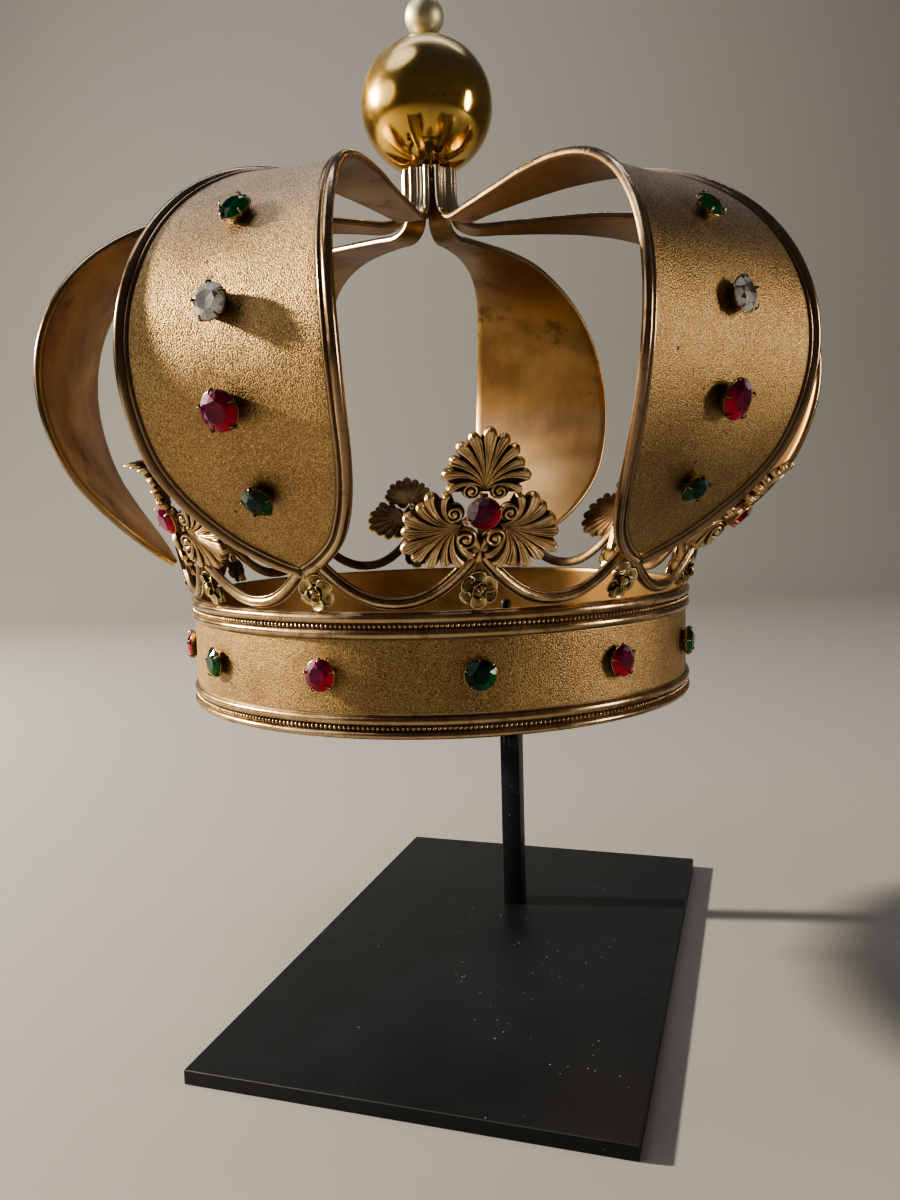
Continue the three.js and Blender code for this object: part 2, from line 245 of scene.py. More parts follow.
class Look(Nodes):
    # one finish, with short names for the nodes it uses most
    def __init__(self, name, **sockets):
        self.material = bpy.data.materials.new(name)
        self.material.use_nodes = True
        super().__init__(self.material.node_tree)
        self.tree.nodes.clear()
        surface = self.node("BsdfPrincipled")
        self.shader = surface.socket.node
        self.node("OutputMaterial", feeds={"Surface": surface})
        self.wear(**sockets)

    def place(self):
        return self.node("TexCoord", output="Object")

    def shade(self):
        return self.node("Attribute", {"attribute_name": "shade"}, output="Fac")

    def along(self, axis):
        return self.node("SeparateXYZ", feeds={"Vector": self.place()}, output=axis)

    def rising(self, low, high):
        # 0 below the lower height and 1 above the upper one, in metres
        return self.along("Z").ramp(low, high)

    def noise(self, scale, detail=3.0, rough=0.5, stretch=None):
        where = self.place()
        if stretch:
            where = self.node("Mapping", feeds={"Vector": where, "Scale": stretch})
        feeds = {"Vector": where, "Scale": scale, "Detail": detail, "Roughness": rough}
        return self.node("TexNoise", feeds=feeds)

    def cells(self, scale, output="Distance"):
        feeds = {"Vector": self.place(), "Scale": scale}
        return self.node("TexVoronoi", feeds=feeds, output=output)

    def coat(self, amount, colour, over=None):
        # one more colour over those before; a mix node has its colours at inputs 6 and 7 and output 2
        feeds = {0: amount, 6: over or self.tone, 7: colour}
        self.tone = self.node("Mix", {"data_type": "RGBA"}, feeds, 2)

    def bump(self, height, distance, strength=1.0, under=None):
        feeds = {"Height": height, "Distance": distance, "Strength": strength}
        if under:
            feeds["Normal"] = under
        return self.node("Bump", feeds=feeds)

    def wear(self, **feeds):
        for key, value in feeds.items():
            self.set(self.shader, key.replace("_", " "), value)
        return self.material

    def finish(self, rough, height):
        return self.wear(Base_Color=self.tone, Roughness=rough, Normal=height)


def giltField():
    # matted gilt ground: pebble grain, cloudy tone, painted glints on some grains, painted shade in the
    # pits between them, dark specks and small stains
    s = {"pebbles": 2200, "relief": 0.000125, "filmHeight": (0.25, 0.288),
         "brown": (0.36, 0.235, 0.108), "gold": (0.53, 0.36, 0.165), "patch": (0.4, 0.25, 0.115),
         "film": (0.5, 0.435, 0.405), "paintedGlints": (0.88, 0.68, 0.34), "gap": (0.16, 0.095, 0.045),
         "dirt": (0.05, 0.03, 0.02)}
    look = Look("gilt_field", Metallic=1.0)
    pebble, paintedGlints = look.cells(s["pebbles"]), look.cells(s["pebbles"], "Color")
    cloud = look.noise(24, 4.0, 0.6)
    patch = look.noise(90, 3.0, 0.6)
    speck = look.cells(95).ramp(0.035, 0.07, 1.0, 0.0) * look.noise(40, 1.0).ramp(0.5, 0.58)
    stain = look.noise(150, 2.0, 0.5).ramp(0.745, 0.755)
    film = look.rising(*s["filmHeight"]) * cloud.ramp(0.3, 0.6, 0.6, 0.95)
    look.coat(cloud.ramp(0.35, 0.68), s["gold"], over=s["brown"])
    look.coat(patch.ramp(0.45, 0.75) * 0.5, s["patch"])
    look.coat(film, s["film"])
    # painted glints: some grains are painted bright yellow in place of the sparkle of light on them
    look.coat(paintedGlints.ramp(0.62, 0.9) * 0.42, s["paintedGlints"])
    # painted shade: the pits between the pebbles are painted darker
    look.coat(pebble.ramp(0.38, 0.75) * 0.72, s["gap"])
    look.coat(speck * 0.85 + stain * 0.45, s["dirt"])
    rough = cloud.ramp(0.3, 0.7, 0.4, 0.48) + speck * 0.2
    height = look.bump(0 - pebble, s["relief"])
    height = look.bump(look.noise(60, 2.0), 0.0012, 0.25, height)
    return look.finish(rough, height)


def giltMoulding():
    # polished mouldings: warm, a little pink, with painted shade darkening the hollows
    s = {"brown": (0.44, 0.3, 0.165), "pink": (0.6, 0.44, 0.265), "stain": (0.22, 0.13, 0.085),
         "film": (0.34, 0.27, 0.245), "paintedDarkReflection": (0.16, 0.095, 0.07), "neck": (0.8, 0.65, 0.46),
         "hollow": (0.085, 0.05, 0.028), "gloss": (0.17, 0.3)}
    look = Look("gilt_moulding", Metallic=1.0)
    cloud = look.noise(45, 4.0, 0.65)
    scratch = look.noise(420, 2.0, 0.6, (1.0, 1.0, 0.12))
    stain = look.noise(170, 3.0, 0.7)
    hollow = look.shade()
    film = look.rising(0.255, 0.29) * (1 - look.rising(0.292, 0.299))
    # painted reflection: a dark band between these heights stands in for the dark ground reflected in the
    # mouldings
    paintedDarkReflection = look.rising(0.165, 0.19) * (1 - look.rising(0.245, 0.272))
    look.coat(cloud.ramp(0.35, 0.7), s["pink"], over=s["brown"])
    look.coat(stain.ramp(0.52, 0.68) * 0.65, s["stain"])
    look.coat(film * cloud.ramp(0.3, 0.6, 0.3, 0.75), s["film"])
    look.coat(paintedDarkReflection * cloud.ramp(0.3, 0.6, 0.25, 0.65), s["paintedDarkReflection"])
    # painted sheen: the neck of each arch is painted pale for the bright light it catches
    look.coat(look.rising(0.294, 0.3) * 0.8, s["neck"])
    # painted shade: the shade marks of the grooves and channels darken the mouldings there
    look.coat(hollow * 0.85, s["hollow"])
    rough = cloud.ramp(0.35, 0.7, *s["gloss"]) + hollow * 0.3 + stain.ramp(0.55, 0.75, 0.0, 0.12)
    height = look.bump(scratch, 0.0002, 0.25)
    height = look.bump(look.noise(70, 2.0), 0.001, 0.12, height)
    return look.finish(rough, height)


def giltInside():
    # rolled back of the sheet, brown and yellow by turns
    s = {"brown": (0.26, 0.145, 0.06), "yellow": (0.56, 0.36, 0.16), "stain": (0.12, 0.07, 0.04),
         "crown": (0.15, 0.095, 0.06), "paintedSunlight": (0.38, 0.25, 0.155), "foot": (0.88, 0.56, 0.255)}
    look = Look("gilt_inside", Metallic=1.0)
    cloud = look.noise(16, 4.0, 0.6)
    stain = look.noise(48, 5.0, 0.65)
    brush = look.noise(260, 3.0, 0.6, (1.0, 1.0, 0.1))
    # painted sunlight: a pool of light painted on the lower inside of the rear arches
    paintedSunPatch = look.rising(0.157, 0.16) * look.along("Y").ramp(0.05, 0.08)  # the feet of the rear arches
    look.coat(cloud.ramp(0.35, 0.66), s["yellow"], over=s["brown"])
    look.coat(stain.ramp(0.57, 0.66) * 0.6, s["stain"])
    # painted shade: the inside is painted darker near the top of the arches
    look.coat(look.rising(0.276, 0.292) * 0.6, s["crown"])
    # the painted sunlight grows paler and brighter towards the foot
    look.coat(paintedSunPatch * look.along("Z").ramp(0.23, 0.237, 0.75, 0.0), s["paintedSunlight"])
    look.coat(paintedSunPatch * look.along("Z").ramp(0.208, 0.226, 0.85, 0.0), s["foot"])
    rough = cloud.ramp(0.3, 0.7, 0.42, 0.32) + stain.ramp(0.5, 0.8, 0.0, 0.14) + brush * 0.05
    height = look.bump(brush, 0.0003, 0.12)
    height = look.bump(look.noise(34, 2.0), 0.002, 0.16, height)
    return look.finish(rough, height)


def castBrass(name, deep, mid, high, gloss):
    # castings: painted shade darkens the recesses, the ribs are rubbed bright, with a reddish patina
    # between
    patina, dulled = (0.42, 0.22, 0.1), 0.28
    look = Look(name, Metallic=1.0)
    hollow = look.shade()
    pits = look.noise(900, 3.0, 0.6)
    rubbedAndUnshaded = (1 - hollow) * look.noise(110, 4.0, 0.65).ramp(0.3, 0.65, 0.55, 1.0)
    # painted shade: the deep tone fills the recesses, the mid tone the rest
    look.coat(rubbedAndUnshaded.ramp(0.1, 0.62), mid, over=deep)
    look.coat(rubbedAndUnshaded.ramp(0.6, 0.98), high)
    look.coat(look.noise(190, 3.0, 0.6).ramp(0.5, 0.66) * rubbedAndUnshaded * 0.5, patina)
    look.coat(pits.ramp(0.6, 0.72) * 0.35, deep)
    rough = hollow.ramp(0.1, 0.9, gloss, gloss + dulled) + pits * 0.08
    height = look.bump(pits, 0.00025, 0.35)
    return look.finish(rough, height)


def polishedBrass(name, first, second, gloss):
    # spun shell: mirror bright, with faint wiping marks, some tarnish, a grey film on top that is partly
    # worn film and partly painted reflection, and a duller left side
    s = {"spot": (0.24, 0.14, 0.05), "film": (0.52, 0.46, 0.33), "filmHeight": (0.335, 0.362),
         "dullSide": (-0.021, -0.004)}
    look = Look(name, Metallic=1.0)
    cloud = look.noise(38, 4.0, 0.6)
    wipe = look.noise(240, 3.0, 0.6, (0.3, 1.0, 1.0))
    streak = look.noise(70, 3.0, 0.6, (1.0, 1.0, 0.35)).ramp(0.3, 0.62, 0.55, 1.0)
    # the grey film at the top is partly a worn film and partly a painted reflection of what lies above
    film = look.rising(*s["filmHeight"]) * streak
    look.coat(cloud.ramp(0.35, 0.7), second, over=first)
    look.coat(look.noise(520, 2.0, 0.6).ramp(0.62, 0.72) * 0.5, s["spot"])
    look.coat(film * 0.8, s["film"])
    rough = cloud.ramp(0.4, 0.75, gloss, gloss + 0.08) + wipe.ramp(0.45, 0.8, 0.0, 0.06)
    rough = rough + film * 0.3 + look.along("X").ramp(*s["dullSide"], 0.13, 0.0)
    height = look.bump(wipe, 0.0001, 0.08)
    height = look.bump(look.noise(62, 1.0), 0.0012, 0.35, height)
    return look.finish(rough, height)


def cutGlass(name, s):
    # a facet takes more or less of the bright tone as painted glow, or a pale painted glint where its
    # shade is below 0
    look = Look(name, IOR=1.55, Transmission_Weight=s["clear"], Specular_IOR_Level=s["gloss"])
    facet = look.shade()
    look.coat(facet, s["bright"], over=s["dark"])
    look.coat(0 - facet, s["pale"])
    look.coat(look.noise(420, 3.0, 0.6).ramp(0.55, 0.8) * 0.2, s["dark"])
    return look.wear(Base_Color=look.tone, Roughness=look.noise(900, 3.0, 0.7).ramp(0.5, 0.8, 0.03, 0.14))


def standBlack():
    # satin black paint with white dust and rubbed edges
    s = {"deep": (0.003, 0.0048, 0.0075), "worn": (0.006, 0.009, 0.0132), "edge": (0.09, 0.09, 0.088),
         "fleck": (0.11, 0.11, 0.1), "grit": (0.55, 0.54, 0.5)}
    look = Look("black_paint", IOR=1.45)
    cloud = look.noise(14, 4.0, 0.6)
    strewn = look.noise(28, 2.0, 0.6).ramp(0.45, 0.62) * look.noise(160, 1.0).ramp(0.48, 0.56)
    grit = look.cells(330).ramp(0.06, 0.09, 1.0, 0.0) * strewn
    fine = look.noise(1400, 2.0, 0.6)
    look.coat(cloud.ramp(0.3, 0.7), s["worn"], over=s["deep"])
    look.coat(look.shade() * 0.6, s["edge"])
    look.coat(fine.ramp(0.66, 0.74) * 0.25, s["fleck"])
    look.coat(grit * 0.85, s["grit"])
    rough = cloud.ramp(0.3, 0.7, 0.38, 0.5) + grit * 0.4
    return look.finish(rough, look.bump(fine, 0.0002, 0.16))


# colours of each kind of stone, and the painted light on its facets: a painted glow in the bright tone
# and pale painted glints
stones = {
    "ruby": {"dark": (0.075, 0.003, 0.032), "bright": (0.8, 0.003, 0.042), "pale": (0.78, 0.6, 0.74),
             "clear": 0.15, "gloss": 0.22, "base": 0.05, "spread": 0.07, "glint": 0.85},
    "emerald": {"dark": (0.0005, 0.008, 0.005), "bright": (0.002, 0.17, 0.032), "pale": (0.22, 0.4, 0.34),
                "clear": 0.15, "gloss": 0.2, "base": 0.05, "spread": 0.07, "glint": 0.35},
    "crystal": {"dark": (0.13, 0.12, 0.1), "bright": (0.97, 0.95, 0.9), "pale": (0.97, 0.97, 0.97),
                "clear": 0.5, "gloss": 0.6, "base": 0.4, "spread": 0.6, "glint": 0.35},
}
gemLooks = {kind: cutGlass(kind, s) for kind, s in stones.items()}
giltLooks = [giltField(), giltMoulding(), giltInside()]
ground, mould, within = 0, 1, 2  # places in giltLooks
# name, painted shade tone in the recesses, tone on the ribs and where rubbed bright, and how rough
castLooks = [castBrass(*s) for s in (
    ("gallery_brass", (0.05, 0.03, 0.018), (0.35, 0.24, 0.135), (0.64, 0.48, 0.3), 0.19),
    ("rosette_brass", (0.05, 0.033, 0.014), (0.5, 0.375, 0.175), (0.86, 0.73, 0.45), 0.2),
    ("antique_brass", (0.07, 0.038, 0.019), (0.76, 0.52, 0.275), (0.97, 0.78, 0.5), 0.26))]
wire, flower, antique = 0, 1, 2  # places in castLooks
orbBrass = polishedBrass("orb_brass", (0.6, 0.37, 0.095), (0.74, 0.5, 0.165), 0.07)
ballBrass = polishedBrass("ball_brass", (0.7, 0.6, 0.36), (0.8, 0.72, 0.48), 0.24)
black = standBlack()
print("materials made")


def gem(name, node, radius, girdle, place, kind, seed):
    # round cut: table, stars, mains and girdle facets above, mains below; facing +Z
    cut = {"sides": 8, "table": 0.56, "stars": 0.8, "top": 0.34, "mid": 0.2, "edge": 0.07, "deep": 0.42}
    light = {"across": 0.75, "down": 0.66, "glow": 1.3, "glint": 3.2, "glintFrom": 0.3, "glintShare": 0.8}
    n = cut["sides"]
    turn = wobble.uniform(0, 360)
    step = 360 / n

    def ring(count, share, height, offset=0.0):
        a = rad(turn + (np.arange(count) + offset) * step * n / count)
        return polar(share * radius, a, girdle + height * radius)

    points = join([ring(n, cut["table"], cut["top"], 0.5), ring(n, cut["stars"], cut["mid"]),
                   ring(2 * n, 1.0, cut["edge"]), ring(2 * n, 1.0, 0.0),
                   [[0, 0, girdle - cut["deep"] * radius], [0, 0, girdle + cut["top"] * radius]]])
    s, r, w, t = n, 2 * n, 4 * n, 6 * n  # where the stars, the rim, the low ring and the tip start
    faces = [[t + 1, i, (i + 1) % n] for i in range(n)]
    for i in range(n):
        k, even, odd, after = (i + 1) % n, 2 * i, 2 * i + 1, (2 * i + 2) % (2 * n)
        faces += [[(i - 1) % n, s + i, i], [i, s + i, r + odd, s + k], [s + i, r + even, r + odd],
                  [s + k, r + odd, r + after], [w + even, t, w + after, w + odd]]
    for i in range(2 * n):
        k = (i + 1) % (2 * n)
        faces.append([r + i, w + i, w + k, r + k])
    draw = np.random.default_rng(seed)
    tones = stones[kind]
    # the side that the painted glow and glints come from
    lit = -1.0 if place[0, 2] > 0.3 else 1.0  # stones that face right are lit from the other side
    shape = Shape()
    world = moved(points, place)
    for face in faces:
        corners = world[face]
        normal = np.cross(corners[1] - corners[0], corners[2] - corners[0])
        normal /= np.linalg.norm(normal) + 1e-9
        # painted light: light that came in from above on one side would leave through the lower facets of
        # the other, so these get a painted glow, and facets turned towards the light get pale painted
        # glints
        onTable = t + 1 in face
        way = 0.2 * (corners.mean(0) - world[t + 1]) / radius if onTable else normal - place[:3, 2]
        slant = light["across"] * lit * way[0] - light["down"] * way[2]
        glow = tones["base"] + light["glow"] * max(0.0, slant) + draw.normal(0, tones["spread"])
        glint = 0.0 if onTable or t in face else max(0.0, -slant - light["glintFrom"])
        if glint > 0.02 and draw.uniform() < light["glintShare"]:
            mark = -min(tones["glint"], light["glint"] * glint)
        else:
            mark = min(1.0, max(0.0, glow))
        shape.add(corners, [list(range(len(face)))], smooth=False, mark=mark)
    shape.build(name, [gemLooks[kind]], nodes=[node])


def addSetting(shape, radius, girdle, place, finish, root, claws, seed):
    # thin conical collet and the claws bent over the stone's girdle
    draw = np.random.default_rng(seed)
    rim = girdle - 0.05 * radius
    # radius, height and darkness, up the outside and down the inside; the darkness is painted shade at
    # the collet's foot and inside it, under the stone
    p = np.array([
        (0.7 * radius, -root, 0.9), (0.74 * radius, 0.0, 0.7), (0.8 * radius, 0.35 * rim, 0.25),
        (0.97 * radius, 0.8 * rim, 0.1), (1.05 * radius, rim, 0.0), (1.045 * radius, rim + 0.28, 0.0),
        (0.98 * radius, rim + 0.25, 0.2), (0.93 * radius, rim - 0.1, 0.8), (0.8 * radius, 0.3 * rim, 1.0),
        (0.6 * radius, 0.12 * rim, 1.0), (0.0, 0.05 * rim, 1.0)])
    shape.addRings(spun(p, 40), finish, p[:, 2:], place)
    # a claw's way up: share of the stone's radius, height, half width
    path = [(0.9, 0.45 * rim, 0.5), (1.02, 0.85 * rim, 0.5), (1.09, rim + 0.2, 0.48),
            (1.07, rim + 0.26 * radius * 0.6, 0.42), (0.96, rim + 0.3 * radius, 0.32),
            (0.86, rim + 0.35 * radius, 0.2)]
    across, lift = np.array([-1, -0.6, 0.6, 1]), np.array([-0.12, 0.2, 0.2, -0.12])
    for i in range(claws):
        angle = i * 360 / claws + 22 + draw.uniform(-9, 9)  # none is bent evenly
        rings = [np.stack([share * radius + lift, across * half, height + lift * 0.7], 1)
                 for share, height, half in path]
        shape.addRings(np.array(rings), finish, 0.05, place @ turned(angle))


def ripple(azimuth, height, size):
    # hand work: the sheet isn't quite true
    a = rad(azimuth)
    return size * (np.sin(3 * a + 0.7 + height / 40) + 0.6 * np.sin(7 * a - height / 23)
                   + 0.4 * np.sin(13 * a + 2))


def buildBand():
    s = {"radius": 95.0, "wall": 2.0, "height": 39.5, "sides": 360, "ripple": 0.09, "sag": 0.06,
         "beads": 376, "bead": 0.82, "lowBeads": 3.32, "highBeads": 4.45,  # from the lower and upper edge
         "stones": {"ruby": (5.1, 2.3), "emerald": (4.9, 2.3)}, "stoneCount": 12, "stoneHeight": 19.8}
    r, h, inner = s["radius"], s["height"], s["radius"] - s["wall"]

    def bulge(low, high, size, count=9):
        a = np.linspace(0, pi, count)
        z = (low + high) / 2 - np.cos(a) * (high - low) / 2
        return [(r + 0.3 + size * sin(v), y, mould, 0.55 * (1 - sin(v))) for v, y in zip(a, z)]

    # radius, height, finish and darkness, up the outside and down the inside; the darkness is painted
    # shade in the grooves and where the mouldings meet
    p = np.array([
        (inner, 0.35, within, 0), (inner + 0.35, 0, within, 0), *bulge(0.0, 2.35, 1.15),
        (r + 0.15, 2.5, mould, 1.0), (r + 0.15, 4.15, mould, 1.0), *bulge(4.3, 7.1, 1.05),
        (r - 0.15, 7.3, mould, 1.0), (r, 7.6, mould, 0.35),
        *[(r, z, ground, 0) for z in np.linspace(7.9, h - 8.9, 15)],
        (r, h - 8.7, mould, 0.35), (r - 0.15, h - 8.4, mould, 1.0), *bulge(h - 8.3, h - 5.4, 1.1),
        (r + 0.15, h - 5.25, mould, 1.0), (r + 0.15, h - 3.65, mould, 1.0), *bulge(h - 3.5, h - 0.5, 1.2),
        (r + 0.2, h - 0.1, mould, 0), (r - 0.6, h, mould, 0), (inner + 0.3, h, within, 0),
        *[(inner, z, within, 0) for z in (h - 0.35, *np.linspace(h - 2, 2, 8))],
    ])
    azimuth = np.arange(s["sides"]) * 360 / s["sides"]
    radius = p[:, :1] + ripple(azimuth[None], p[:, 1:2], s["ripple"])
    points = radius[..., None] * around(azimuth)[1][None]
    points[..., 2] = bandBase + p[:, 1:2] + s["sag"] * np.sin(rad(5 * azimuth))[None]
    shape = Shape()
    shape.addRings(points, np.repeat(p[:, 2].astype(int), s["sides"]), p[:, 3:], closeRows=True)

    # two strips of beads: radius, height and darkness of one, the darkness being painted shade round its
    # foot
    p = np.array([(1.0, 0.0, 0.9), (0.86, 0.5, 0.4), (0.5, 0.87, 0.0), (0.0, 1.0, 0.0)])
    dome = spun(p, 8) * (0.92, 1, 1)
    for height in (s["lowBeads"], h - s["highBeads"]):
        for i in range(s["beads"]):
            place = facing(i * 360 / s["beads"], r + 0.1, height)
            shape.addRings(dome * s["bead"] * wobble.uniform(0.94, 1.03), mould, p[:, 2:], place)

    for i in range(s["stoneCount"]):
        kind = "ruby" if i % 2 else "emerald"
        radius, girdle = s["stones"][kind]
        place = facing(i * 360 / s["stoneCount"], r, s["stoneHeight"])
        addSetting(shape, radius, girdle, place, mould, root=0.8, claws=5, seed=100 + i)
        number = f"{i + 1:02d}"
        gem("band_gem_" + number, "band_stone_" + number, radius, girdle, place, kind, 200 + i)
    shape.build("crown_band", giltLooks, nodes=["band"])
    print("band built")


festoon = {"count": 12, "radius": 94.9, "height": 41.9, "width": 4.2, "rise": 17.0, "curve": 2.2,
           "lean": 19.0}
# across the wire: share of the half width, height and darkness; the other half mirrors it. The darkness
# is painted shade in its grooves and on its back
wireHalf = [(-1, -0.5, 0.6), (-0.97, 0.2, 0.2), (-0.86, 0.55, 0), (-0.74, 0.3, 0.8), (-0.68, 0.25, 1),
            (-0.5, 1.0, 0.25), (-0.25, 1.42, 0.05)]
wireBack = [(0.8, -0.85, 0.7), (0, -0.9, 0.7), (-0.8, -0.85, 0.7)]
wireOther = [(-x, y, dark) for x, y, dark in wireHalf[::-1]]
wireSection = np.array(wireHalf + [(0, 1.55, 0)] + wireOther + wireBack)


def addFestoon(shape, middle):
    # half-round wire with a bead along each edge
    half, lean = festoon["width"] / 2, rad(festoon["lean"])
    across = np.linspace(-1.005, 1.005, 61)
    rise = festoon["rise"] * np.abs(across) ** festoon["curve"]
    out = around(middle + across * (180 / festoon["count"]))[1]
    centre = out * (festoon["radius"] + rise * sin(lean))[:, None]
    centre[:, 2] = bandBase + festoon["height"] + rise * cos(lean)
    along = unit(np.gradient(centre, axis=0))
    normal = out.copy()
    normal[:, 2] = -tan(lean)
    normal = unit(normal - along * np.sum(normal * along, 1)[:, None])
    wide = np.cross(normal, along)
    w, n, dark = wireSection.T
    points = centre[:, None] + wide[:, None] * (w * half)[:, None] + normal[:, None] * n[:, None]
    shape.addRings(points, wire, dark)


def addPetal(shape, across, along, cup, place):
    # cupped petal: hollow in the middle, with a rolled rim; its darkness is painted shade, deepest in the
    # hollow and underneath
    p = np.array([(0, -0.35, 0.75), (0.4, -0.3, 0.5), (0.66, -0.16, 0.3), (0.8, 0.04, 0.1),
                  (0.9, 0.2, 0.0), (0.97, 0.18, 0.0), (1.0, -0.02, 0.4), (0.97, -0.3, 0.9),
                  (0.75, -0.6, 1.0), (0, -1.0, 1.0)])
    a = circle(24)
    wave = 1 + 0.05 * np.sin(3 * a + across * 9)
    points = np.stack([across * p[:, :1] * np.cos(a) * wave, along * p[:, :1] * np.sin(a) * wave,
                       cup * (p[:, 1:2] + 0.3 * p[:, :1] * np.maximum(0, np.sin(a)))], -1)
    shape.addRings(points, flower, p[:, 2:], place)


def addRosette(shape, azimuth, seed):
    s = {"radius": 96.5, "height": 45.9, "cup": 0.8, "heart": (2.2, 2.3), "plate": (3.4, 3.4, 0.5),
         "turn": 6, "tilt": 16, "roll": 20,  # how far each petal may be off
         # first angle, petals, reach, half width, half length, height, dip
         "layers": [(0, 6, 3.8, 2.7, 2.5, 0.2, 4), (24, 5, 1.9, 1.35, 1.1, 1.3, 48)],
         # strap and stub: size, y, z, bevel, darkness of the faces and of the edges, the darkness being
         # painted shade
         "bars": [((3.0, 10.5, 1.0), 7.9, -0.6, 0.25, 0.6, 0.25),
                  ((3.4, 3.0, 1.6), -5.0, -1.4, 0.3, 0.5, 0.2)]}
    draw = np.random.default_rng(seed)
    base = facing(azimuth, s["radius"], s["height"], festoon["lean"])

    def off(key):
        return draw.uniform(-s[key], s[key])

    for first, count, reach, across, along, height, dip in s["layers"]:
        for i in range(count):
            petal = turned(first + i * 360 / count + off("turn"))
            petal = petal @ turned(0, 0, reach, height + 0.5 * (i % 2))
            tilt = Matrix.Rotation(rad(dip + off("tilt")), 4, "X")
            tilt @= Matrix.Rotation(rad(off("roll")), 4, "Y")
            addPetal(shape, across, along, s["cup"], base @ petal @ np.array(tilt))
    # crumpled rose in the middle, with painted shade in its folds
    radius, rise = s["heart"]
    share, a = np.linspace(0, 1, 18)[:, None], circle(44)
    curl = np.sin(3 * a + share * 9) * np.sin(share * 10 + 1.2 * np.sin(2 * a + seed))
    height = rise * (1 - share ** 3) + 0.38 * curl * held(share * 3) * (1 - share ** 4)
    points = polar(radius * share, a, height + 0.1)
    shape.addRings(points, flower, held(0.38 - 0.5 * curl), base)
    # back plate, the strap up to the cusp and the stub on the rim
    addPetal(shape, *s["plate"], base)
    for size, y, z, bevel, mark, edge in s["bars"]:
        addBar(shape, size, base @ turned(0, 0, y, z), bevel, mark, edge, flower)


def buildGallery():
    shape = Shape()
    step = 360 / festoon["count"]
    for i in range(festoon["count"]):
        addFestoon(shape, (i + 0.5) * step)
        addRosette(shape, i * step, 300 + i)
    shape.build("festoon_gallery", castLooks[:antique], nodes=["gallery"])
    print("gallery built")


# azimuth, lean and how far each leaf is bent back
trefoils = [(0, 25, (0, -5, 5)), (60, 47, (0, -26, 12)), (120, 35, (0, -10, 10)), (180, 45, (0, -10, 10)),
            (-120, 30, (0, -10, 10)), (-60, 25, (-26, -26, 12))]
lobeHalf = [(14, 18.6), (29.5, 17.4), (45, 15.0), (63, 14.2), (82, 11.2)]
lobes = np.array([(-angle, length) for angle, length in lobeHalf[::-1]] + [(0, 19.9)] + lobeHalf)


def palmette(seed):
    # fan of lobes: fine ribs rise from the base and bend outwards to a rolled lip
    s = {"floor": 0.25, "swell": 1.0, "round": 0.45, "groove": 0.3, "ribs": 0.44, "wander": 0.11,
         "lip": 0.28, "lipAt": 0.92, "tuck": 0.5, "drop": 1.3, "back": -0.9}
    per, rows, tucked = 25, 26, (2, 4, 6, 8)  # points to a lobe, rows of points, lobes behind the others
    draw = np.random.default_rng(seed)
    middles = lobes[:, 0] + draw.normal(0, 0.8, len(lobes))
    lengths = lobes[:, 1] * (1 + draw.normal(0, 0.015, len(lobes)))
    edges = join([[middles[0] - 9], (middles[1:] + middles[:-1]) / 2, [middles[-1] + 9]])
    phase = np.linspace(-1, 1, per)  # across one lobe
    angle, reach, p, behind = [], [], [], []
    for i, middle in enumerate(middles):
        half = np.where(phase < 0, middle - edges[i], edges[i + 1] - middle)
        angle.append(middle + phase * half)
        reach.append(lengths[i] * (1 - 0.13 * np.abs(phase) ** 2.3))
        p.append(phase)
        behind.append(np.full(per, 1.0 if i in tucked else 0.0))
    angle, reach, p, behind = [join(v) for v in (angle, reach, p, behind)]
    tip = [0.86, 0.89, 0.915, 0.94, 0.96, 0.976, 0.988, 0.996, 1.0]
    t = join([np.linspace(0.03, 0.82, rows - len(tip)), tip])[:, None]  # from the base to the tip
    a = rad(angle * (0.1 + 0.9 * t ** 0.85))
    x, y = reach * t * np.sin(a), reach * t * np.cos(a)
    grown = np.clip(t * 1.7, 0.1, 1)
    lip = np.exp(-((t - s["lipAt"]) / 0.055) ** 2) * (1 - 0.6 * p ** 2)
    wander = p + s["wander"] * np.sin(7 * t + 3 * np.sin(angle)) * (1 - p ** 2)
    ribs = (0.5 - 0.5 * np.cos(4 * pi * wander)) ** 1.3
    groove = np.exp(-((1 - np.abs(p)) / 0.1) ** 2)
    tuck = behind * held((t - 0.35) / 0.4)
    rounded = s["round"] * np.sqrt(1 - p ** 2 * 0.97) - s["groove"] * groove
    height = s["floor"] + s["swell"] * np.sin(t * pi * 0.55) + grown * rounded
    height = height + s["ribs"] * ribs * grown * (1 - 0.6 * lip) + s["lip"] * lip - s["tuck"] * tuck
    height = height - s["drop"] * held((t - 0.95) / 0.05) ** 2
    # painted shade: darker in the grooves, on the lobes tucked behind, towards the base and on the back;
    # a little lighter on the lip
    dark = 0.56 - 0.56 * ribs * (1 - groove) + 0.34 * groove - 0.1 * lip + 0.12 * tuck
    dark = held(dark + 0.2 * held(1 - t * 6))
    front = np.stack([x, y, height], -1)
    count = x.shape[1]
    back = np.stack([x[-1], y[-1], np.full(count, s["back"])], -1) * (0.985, 0.985, 1)
    hub = np.tile([0, 0, s["back"]], (1, count, 1))
    points = join([hub, back[None], front[::-1]])
    marks = join([np.full((2, count), 0.75), dark[::-1]]).ravel()
    return points, gridFaces(len(points), count, closeColumns=False)[:, ::-1], marks


def cupped(points):
    # the rim of a leaf lifts a little and its sides droop
    x, y = points[..., 0], points[..., 1]
    lift = 0.0045 * np.clip(y - 8, 0, None) ** 2 - 0.0035 * np.clip(np.abs(x) - 4, 0, None) ** 2
    return join([points[..., :2], (points[..., 2] + lift)[..., None]], -1)


